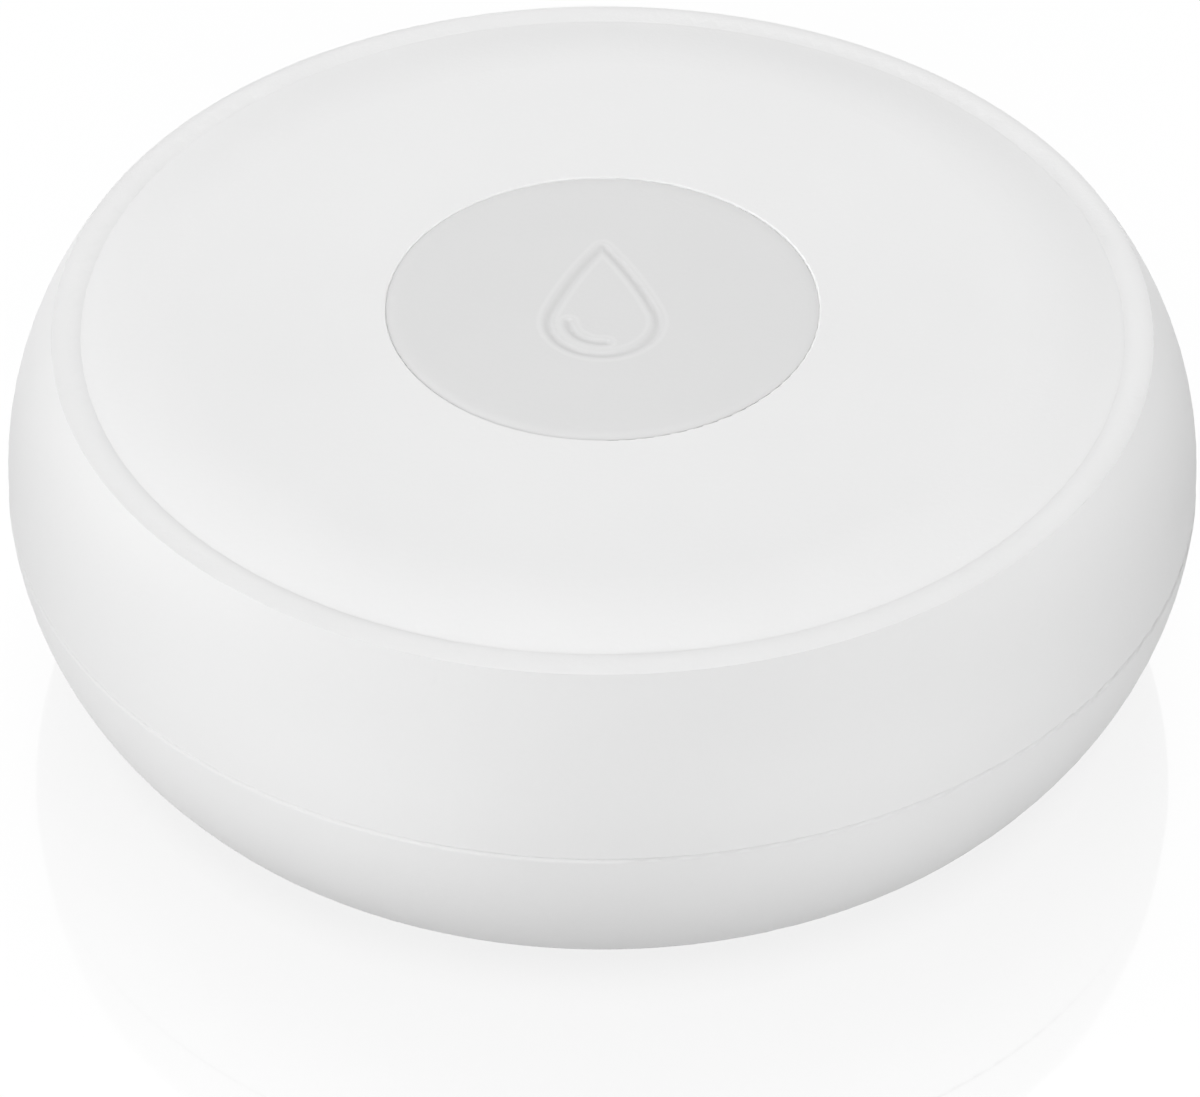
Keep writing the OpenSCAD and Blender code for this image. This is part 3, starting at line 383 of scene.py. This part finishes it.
def turningTree():
    tree = bpy.data.node_groups.new("turnedPiece", "GeometryNodeTree")
    for name, kind in turningInputs.items():
        tree.interface.new_socket(name, in_out="INPUT", socket_type="NodeSocket" + kind)
    tree.interface.new_socket("Geometry", in_out="OUTPUT", socket_type="NodeSocketGeometry")
    given = addNode(tree, "NodeGroupInput").outputs

    # a sheet whose columns go along the section and whose rows go around
    size = addNode(tree, "GeometryNodeAttributeDomainSize", {"Geometry": given["Geometry"]})
    count = size.outputs["Point Count"]
    grid = {"Size X": 1.0, "Size Y": 1.0, "Vertices X": calc(tree, "ADD", count, 1.0),
            "Vertices Y": calc(tree, "ADD", given["Steps"], 1.0)}
    sheet = addNode(tree, "GeometryNodeMeshGrid", grid).outputs["Mesh"]
    spot = addNode(tree, "GeometryNodeInputPosition").outputs[0]
    uv = split(tree, spot)
    along = calc(tree, "ROUND", calc(tree, "MULTIPLY", calc(tree, "ADD", uv["X"], 0.5), count))
    around = calc(tree, "ADD", uv["Y"], 0.5)
    index = calc(tree, "FLOORED_MODULO", along, count)
    wanted = {"Geometry": given["Geometry"], "Value": spot, "Index": index}
    section = addNode(tree, "GeometryNodeSampleIndex", wanted, data_type="FLOAT_VECTOR").outputs["Value"]
    point = split(tree, section)

    # the thread is a ridge that climbs one pitch a turn, between its two heights
    climb = calc(tree, "SUBTRACT", calc(tree, "DIVIDE", point["Z"], given["Thread Pitch"]), around)
    twice = calc(tree, "MULTIPLY", given["Thread Depth"], 2.0)
    valley = calc(tree, "MULTIPLY", calc(tree, "PINGPONG", climb, 0.5), twice)
    above = calc(tree, "GREATER_THAN", point["Z"], given["Thread Low"])
    inside = calc(tree, "MULTIPLY", above, calc(tree, "LESS_THAN", point["Z"], given["Thread High"]))
    radius = calc(tree, "SUBTRACT", point["X"], calc(tree, "MULTIPLY", valley, inside))
    flat = addNode(tree, "ShaderNodeCombineXYZ", {"X": radius, "Z": point["Z"]}).outputs["Vector"]
    angle = calc(tree, "MULTIPLY", around, 2 * math.pi)
    whirl = {"Vector": flat, "Angle": angle}
    spun = addNode(tree, "ShaderNodeVectorRotate", whirl, rotation_type="Z_AXIS").outputs["Vector"]

    # two crossed bars with tapered walls are pressed down into the top
    parts = split(tree, spun)
    sides = [calc(tree, "ABSOLUTE", parts[axis]) for axis in "XY"]
    bars = []
    for across, lengthwise in (sides, sides[::-1]):
        walls = []
        for size, reach in (("Recess Width", across), ("Recess Length", lengthwise)):
            room = calc(tree, "SUBTRACT", calc(tree, "MULTIPLY", given[size], 0.5), reach)
            walls.append(calc(tree, "DIVIDE", room, given["Recess Taper"], clamp=True))
        bars.append(calc(tree, "MINIMUM", *walls))
    face = calc(tree, "SUBTRACT", given["Recess Top"], turning["seam"] * mm)
    onFace = calc(tree, "GREATER_THAN", point["Z"], face)
    pressed = calc(tree, "MULTIPLY", calc(tree, "MAXIMUM", *bars), given["Recess Depth"])
    sunk = calc(tree, "MULTIPLY", calc(tree, "MULTIPLY", pressed, onFace), -1.0)
    down = addNode(tree, "ShaderNodeCombineXYZ", {"Z": sunk}).outputs["Vector"]
    moves = {"Geometry": sheet, "Position": spun, "Offset": down}
    moved = addNode(tree, "GeometryNodeSetPosition", moves).outputs["Geometry"]
    joined = {"Geometry": moved, "Distance": turning["seam"] * mm}
    single = addNode(tree, "GeometryNodeMergeByDistance", joined).outputs["Geometry"]

    # copies around a circle, each turned with it
    ring = addNode(tree, "GeometryNodePoints", {"Count": given["Copies"]}).outputs["Points"]
    step = calc(tree, "DIVIDE", 2 * math.pi, given["Copies"])
    which = addNode(tree, "GeometryNodeInputIndex").outputs[0]
    angle = calc(tree, "MULTIPLY_ADD", which, step, given["Turn"])
    outward = addNode(tree, "ShaderNodeCombineXYZ", {"X": given["Spread"]}).outputs["Vector"]
    swung = {"Vector": outward, "Angle": angle}
    place = addNode(tree, "ShaderNodeVectorRotate", swung, rotation_type="Z_AXIS").outputs["Vector"]
    places = addNode(tree, "GeometryNodeSetPosition", {"Geometry": ring, "Position": place})
    turn = addNode(tree, "ShaderNodeCombineXYZ", {"Z": angle}).outputs["Vector"]
    put = {"Points": places.outputs["Geometry"], "Instance": single, "Rotation": turn}
    copies = addNode(tree, "GeometryNodeInstanceOnPoints", put).outputs["Instances"]
    real = addNode(tree, "GeometryNodeRealizeInstances", {"Geometry": copies}).outputs["Geometry"]
    done = addNode(tree, "GeometryNodeSetMaterial", {"Geometry": real, "Material": given["Finish"]})
    addNode(tree, "NodeGroupOutput", {"Geometry": done.outputs["Geometry"]})
    return tree


turned = turningTree()
turnedKeys = {item.name: item.identifier for item in turned.interface.items_tree if item.in_out == "INPUT"}


# spins a closed section of (radius, height) points in millimetres into a plain mesh
def turnSection(name, section, finish, sizes):
    loop = bpy.data.meshes.new(name)
    edges = [(i, (i + 1) % len(section)) for i in range(len(section))]
    loop.from_pydata([(r * mm, 0, z * mm) for r, z in section], edges, [])
    holder = bpy.data.objects.new(name, loop)
    bpy.context.scene.collection.objects.link(holder)
    modifier = holder.modifiers.new("turned", "NODES")
    modifier.node_group = turned
    plain = {"Steps": turning["steps"], "Thread Pitch": mm, "Recess Taper": mm, "Copies": 1, "Finish": finish}
    for key, value in (plain | sizes).items():
        modifier[turnedKeys[key]] = value
    graph = bpy.context.evaluated_depsgraph_get()
    mesh = bpy.data.meshes.new_from_object(holder.evaluated_get(graph), depsgraph=graph)
    bpy.data.objects.remove(holder)
    work = bmesh.new()
    work.from_mesh(mesh)
    bmesh.ops.recalc_face_normals(work, faces=work.faces)
    work.to_mesh(mesh)
    work.free()
    return mesh


# an object at the origin that rides on a body and stands for a CAD node
def placePiece(name, mesh, body, node):
    mesh.shade_smooth()
    mesh.set_sharp_from_angle(angle=math.radians(turning["smooth"]))
    piece = bpy.data.objects.new(name, mesh)
    bpy.context.scene.collection.objects.link(piece)
    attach(piece, body)
    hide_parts(node)
    return piece


# points of an arc in degrees, both ends kept
def arc(x, z, r, start, end, count):
    turns = [math.radians(start + (end - start) * i / count) for i in range(count + 1)]
    return [(x + r * math.cos(t), z + r * math.sin(t)) for t in turns]


# the push button: a disc on a stem with two guide pegs, and the drop pressed into its face
capLow, capHigh = (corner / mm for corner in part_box("button_cap"))
button = {
    "discT": 1.7, "fill": 0.046, "edgeR": 0.01, "edgeSteps": 4, "border": 0.55, "fall": 0.06, "stemR": 2.0,
    "steps": 520, "ring": 0.04, "fineR": 4.6, "coarse": 1.1, "coarseRings": 3,
    "sealZ": (13.62, 14.2), "sealR": 1.49,
    "clipZ": (11.84, 12.3), "clipR": 1.55, "pegX": 6.5, "pegR": 0.7, "pegZ": 14.05, "pegIn": 0.3,
}
drop = {"r": 2.25, "point": 5.2, "flankR": 20.0, "forward": 1.15, "groove": 0.27, "depth": 0.05,
        "lip": 0.25, "glintR": 1.4, "glintStart": 180, "glintSpan": 95}


# distance from a point of the button's face to the middle of the drop's outline or of its glint
def dropDistance(x, y):
    r, flankR, point = drop["r"], drop["flankR"], drop["point"]
    flankY = (flankR ** 2 - (flankR - r) ** 2 - point ** 2) / (2 * point)
    flankX = math.sqrt((flankR - r) ** 2 - flankY ** 2)
    side, reach = abs(x), math.hypot(x, y)
    if math.atan2(y, side) < math.atan2(flankY, flankX):
        outline = abs(reach - r)
    elif math.atan2(y + flankY, side + flankX) > math.atan2(point + flankY, flankX):
        outline = math.hypot(side, y - point)
    else:
        outline = abs(math.hypot(side + flankX, y + flankY) - flankR)
    turn = (math.degrees(math.atan2(y, x)) - drop["glintStart"]) % 360
    if turn <= drop["glintSpan"]:
        return min(outline, abs(reach - drop["glintR"]))
    ends = [math.radians(drop["glintStart"]), math.radians(drop["glintStart"] + drop["glintSpan"])]
    tips = [math.hypot(x - drop["glintR"] * math.cos(t), y - drop["glintR"] * math.sin(t)) for t in ends]
    return min(outline, *tips)


# presses the drop into a mesh's top, and marks its bottom with -1 for painted shade and its lips with +1 for
# a painted highlight
def pressDrop(mesh, topZ):
    work = bmesh.new()
    work.from_mesh(mesh)
    tone = work.verts.layers.float.new("grooveShadeAndLipHighlight")
    for vertex in work.verts:
        x, y, z = vertex.co / mm
        if z < topZ - button["ring"] or math.hypot(x, y) > button["fineR"]:
            continue
        away = dropDistance(x, y + drop["forward"])
        if away < drop["groove"]:
            fall = 0.5 + 0.5 * math.cos(math.pi * away / drop["groove"])
            vertex.co.z -= drop["depth"] * fall * mm
            vertex[tone] = -fall
        elif away < drop["groove"] + drop["lip"]:
            vertex[tone] = math.sin(math.pi * (away - drop["groove"]) / drop["lip"])
    work.to_mesh(mesh)
    work.free()


def makeButton():
    topZ, discR, edgeR, stemR = capHigh.z, capHigh.x + button["fill"], button["edgeR"], button["stemR"]
    underZ = topZ - button["discT"]
    section = [(button["ring"] * i, topZ) for i in range(int(button["fineR"] / button["ring"]) + 1)]
    section += [(button["fineR"] + button["coarse"] * (i + 1), topZ) for i in range(button["coarseRings"])]
    border, fall, steps = button["border"], button["fall"], button["edgeSteps"]
    bowR = (border ** 2 + fall ** 2) / (2 * fall)
    bowEnd = math.degrees(math.acos((border - edgeR) / bowR))
    section += arc(discR - border, topZ - bowR, bowR, 90, bowEnd, steps)
    edgeZ = section[-1][1] - edgeR
    section += arc(discR - edgeR, edgeZ, edgeR, 90, 0, steps)[1:]
    section += [(discR, underZ), (stemR, underZ)]
    for (low, high), inner in ((button["sealZ"], button["sealR"]), (button["clipZ"], button["clipR"])):
        section += [(stemR, high), (inner, high), (inner, low), (stemR, low)]
    section += [(stemR, capLow.z), (0.0, capLow.z)]
    mesh = turnSection("pushButton", section, buttonAbs, {"Steps": button["steps"]})
    pressDrop(mesh, topZ)
    pegTop, pegR, pegZ = underZ + button["pegIn"], button["pegR"], button["pegZ"]
    peg = [(0.0, pegTop), (pegR, pegTop), (pegR, pegZ), (0.0, pegZ)]
    pegs = turnSection("guidePegs", peg, buttonAbs, {"Copies": 2, "Spread": button["pegX"] * mm})
    work = bmesh.new()
    work.from_mesh(mesh)
    work.from_mesh(pegs)
    work.to_mesh(mesh)
    work.free()
    placePiece("pushButton", mesh, "button", "button_cap")


makeButton()
print("push button made")

# the board's screws: pan heads with a cross recess, and a thread that cuts into the standoffs
screwLow, screwHigh = (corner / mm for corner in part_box("board_screws"))
screw = {"headR": 1.7, "topR": 1.4, "headH": 1.1, "shankR": 0.9, "pitch": 0.7, "depth": 0.2, "row": 0.05,
         "tip": 0.5, "recessW": 0.56, "recessL": 1.9, "recessDepth": 0.6, "taper": 0.12, "copies": 3,
         "turn": 30, "steps": 112, "tipR": 0.45}


def makeScrews():
    topZ, tipZ, shankR = screwHigh.z, screwLow.z, screw["shankR"]
    headZ = topZ - screw["headH"]
    turn = math.radians(screw["turn"])
    faceRows = int(screw["topR"] / screw["row"])
    section = [(screw["row"] * i, topZ) for i in range(faceRows)]
    section += [(screw["topR"], topZ), (screw["headR"], headZ), (shankR, headZ)]
    rows = int((headZ - tipZ - screw["tip"]) / screw["row"])
    section += [(shankR, headZ - screw["row"] * (i + 1)) for i in range(rows)]
    section += [(screw["tipR"], tipZ), (0.0, tipZ)]
    sizes = {
        "Steps": screw["steps"], "Thread Depth": screw["depth"] * mm, "Thread Pitch": screw["pitch"] * mm,
        "Thread Low": (tipZ + screw["tip"]) * mm, "Thread High": (headZ - screw["row"]) * mm,
        "Recess Width": screw["recessW"] * mm, "Recess Length": screw["recessL"] * mm,
        "Recess Depth": screw["recessDepth"] * mm, "Recess Taper": screw["taper"] * mm,
        "Recess Top": topZ * mm, "Copies": screw["copies"],
        "Spread": (screwHigh.x - screw["headR"]) / math.cos(turn) * mm, "Turn": turn,
    }
    mesh = turnSection("threadedScrews", section, finishes["board_screws"], sizes)
    placePiece("threadedScrews", mesh, "case", "board_screws")


makeScrews()
print("board screws made")

# the switch's dome: a thin spring disc that flattens under the plunger as the button goes down
domeLow, domeHigh = (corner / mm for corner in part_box("switch_dome"))
dome = {"thick": 0.08, "count": 24, "steps": 96, "keep": 0.36}


def makeDome():
    high = domeHigh.z - domeLow.z
    outerR = (domeHigh.x ** 2 + high ** 2) / (2 * high)
    innerR, middleZ = outerR - dome["thick"], domeHigh.z - outerR
    ends = [math.degrees(math.asin((domeLow.z - middleZ) / r)) for r in (outerR, innerR)]
    section = arc(0.0, middleZ, outerR, 90, ends[0], dome["count"])
    section += arc(0.0, middleZ, innerR, ends[1], 90, dome["count"])
    mesh = turnSection("snapDome", section, springSteel, {"Steps": dome["steps"]})
    piece = placePiece("snapDome", mesh, "case", "switch_dome")
    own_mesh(piece)


makeDome()
print("switch dome made")

# camera at the photograph's angle: a long lens, about 39 degrees above the floor
camera = {"rise": 38.72, "distance": 225.9, "target": 8.4, "lens": 160.35, "sensor": 36.0, "nearest": 10.0,
          "aimX": -0.1, "aimZ": 3.62}
rise = math.radians(camera["rise"])
eye = Vector((0, -math.cos(rise), math.sin(rise))) * camera["distance"]
eye += Vector((camera["aimX"], 0, camera["target"]))
aim = Vector((camera["aimX"], 0, camera["aimZ"]))
lens = bpy.data.cameras.new("photoCamera")
lens.lens = camera["lens"]
lens.sensor_width = camera["sensor"]
lens.clip_start = camera["nearest"] * mm
photoCamera = bpy.data.objects.new("photoCamera", lens)
photoCamera.location = eye * mm
photoCamera.rotation_euler = (aim - eye).to_track_quat("-Z", "Y").to_euler()
bpy.context.scene.collection.objects.link(photoCamera)
bpy.context.scene.camera = photoCamera

# studio: four soft boxes around the object, in a dim pale room
studio = {"distance": 800.0, "size": 400.0, "room": 0.02}
softBoxes = {
    "frontBox": {"turn": -90, "rise": 16, "level": 0.69},
    "leftBox": {"turn": 180, "rise": 16, "level": 0.515},
    "rightBox": {"turn": 0, "rise": 16, "level": 0.345},
    "backBox": {"turn": 90, "rise": 60, "level": 0.64},
}
for name, box in softBoxes.items():
    turn, rise = math.radians(box["turn"]), math.radians(box["rise"])
    away = Vector((math.cos(turn) * math.cos(rise), math.sin(turn) * math.cos(rise), math.sin(rise)))
    lamp = bpy.data.lights.new(name, "AREA")
    lamp.shape = "DISK"
    lamp.size = studio["size"] * mm
    # the level is the light on a white card that faces the lamp
    lamp.energy = box["level"] * math.pi ** 2 * (studio["distance"] * mm) ** 2
    lampObject = bpy.data.objects.new(name, lamp)
    lampObject.location = away * studio["distance"] * mm
    lampObject.rotation_euler = (-away).to_track_quat("-Z", "Y").to_euler()
    bpy.context.scene.collection.objects.link(lampObject)


# 1 for rays that see the room itself: from the camera, in a mirror or through glass
def seenDirectly(tree):
    path = addNode(tree, "ShaderNodeLightPath").outputs
    seen = calc(tree, "MAXIMUM", path["Is Camera Ray"], path["Is Glossy Ray"])
    return calc(tree, "MAXIMUM", seen, path["Is Transmission Ray"])


white = linear("#FFFFFF")
room = bpy.data.worlds.new("paleRoom")
room.use_nodes = True
bpy.context.scene.world = room
tree = room.node_tree
dim = tree.nodes["Background"]
dim.inputs["Color"].default_value = white
dim.inputs["Strength"].default_value = studio["room"]
bright = addNode(tree, "ShaderNodeBackground", {"Color": white, "Strength": 1.0})
either = {0: seenDirectly(tree), 1: dim.outputs["Background"], 2: bright.outputs["Background"]}
tree.links.new(addNode(tree, "ShaderNodeMixShader", either).outputs[0], tree.nodes["World Output"].inputs[0])

# floor: a sheet of pale acrylic that shows a faint image of what stands on it
floorLook = {"size": 4000.0, "colour": "#959595", "seen": "#404040", "lift": 0.95,
             "gloss": 0.12, "roughness": 0.04}
reach = floorLook["size"] * mm / 2
corners = [(-reach, -reach, 0), (reach, -reach, 0), (reach, reach, 0), (-reach, reach, 0)]
sheet = bpy.data.meshes.new("floor")
sheet.from_pydata(corners, [], [(0, 1, 2, 3)])
floor = bpy.data.objects.new("floor", sheet)
bpy.context.scene.collection.objects.link(floor)
floorPaint = bpy.data.materials.new("floorPaint")
floorPaint.use_nodes = True
tree = floorPaint.node_tree
tree.nodes.remove(tree.nodes["Principled BSDF"])
seen = seenDirectly(tree)
tint = blendColours(tree, seen, linear(floorLook["colour"]), linear(floorLook["seen"]))
matt = addNode(tree, "ShaderNodeBsdfDiffuse", {"Color": tint}).outputs[0]
lift = calc(tree, "MULTIPLY", seen, floorLook["lift"])
glow = addNode(tree, "ShaderNodeEmission", {"Color": white, "Strength": lift}).outputs[0]
paper = addNode(tree, "ShaderNodeAddShader", {0: matt, 1: glow}).outputs[0]
polished = {"Color": white, "Roughness": floorLook["roughness"]}
mirror = addNode(tree, "ShaderNodeBsdfGlossy", polished).outputs[0]
sheen = calc(tree, "MULTIPLY", seen, floorLook["gloss"])
faced = addNode(tree, "ShaderNodeMixShader", {0: sheen, 1: paper, 2: mirror}).outputs[0]
tree.links.new(faced, tree.nodes["Material Output"].inputs["Surface"])
sheet.materials.append(floorPaint)
bpy.context.scene.view_settings.view_transform = "Standard"
print("camera, lamps and floor set")
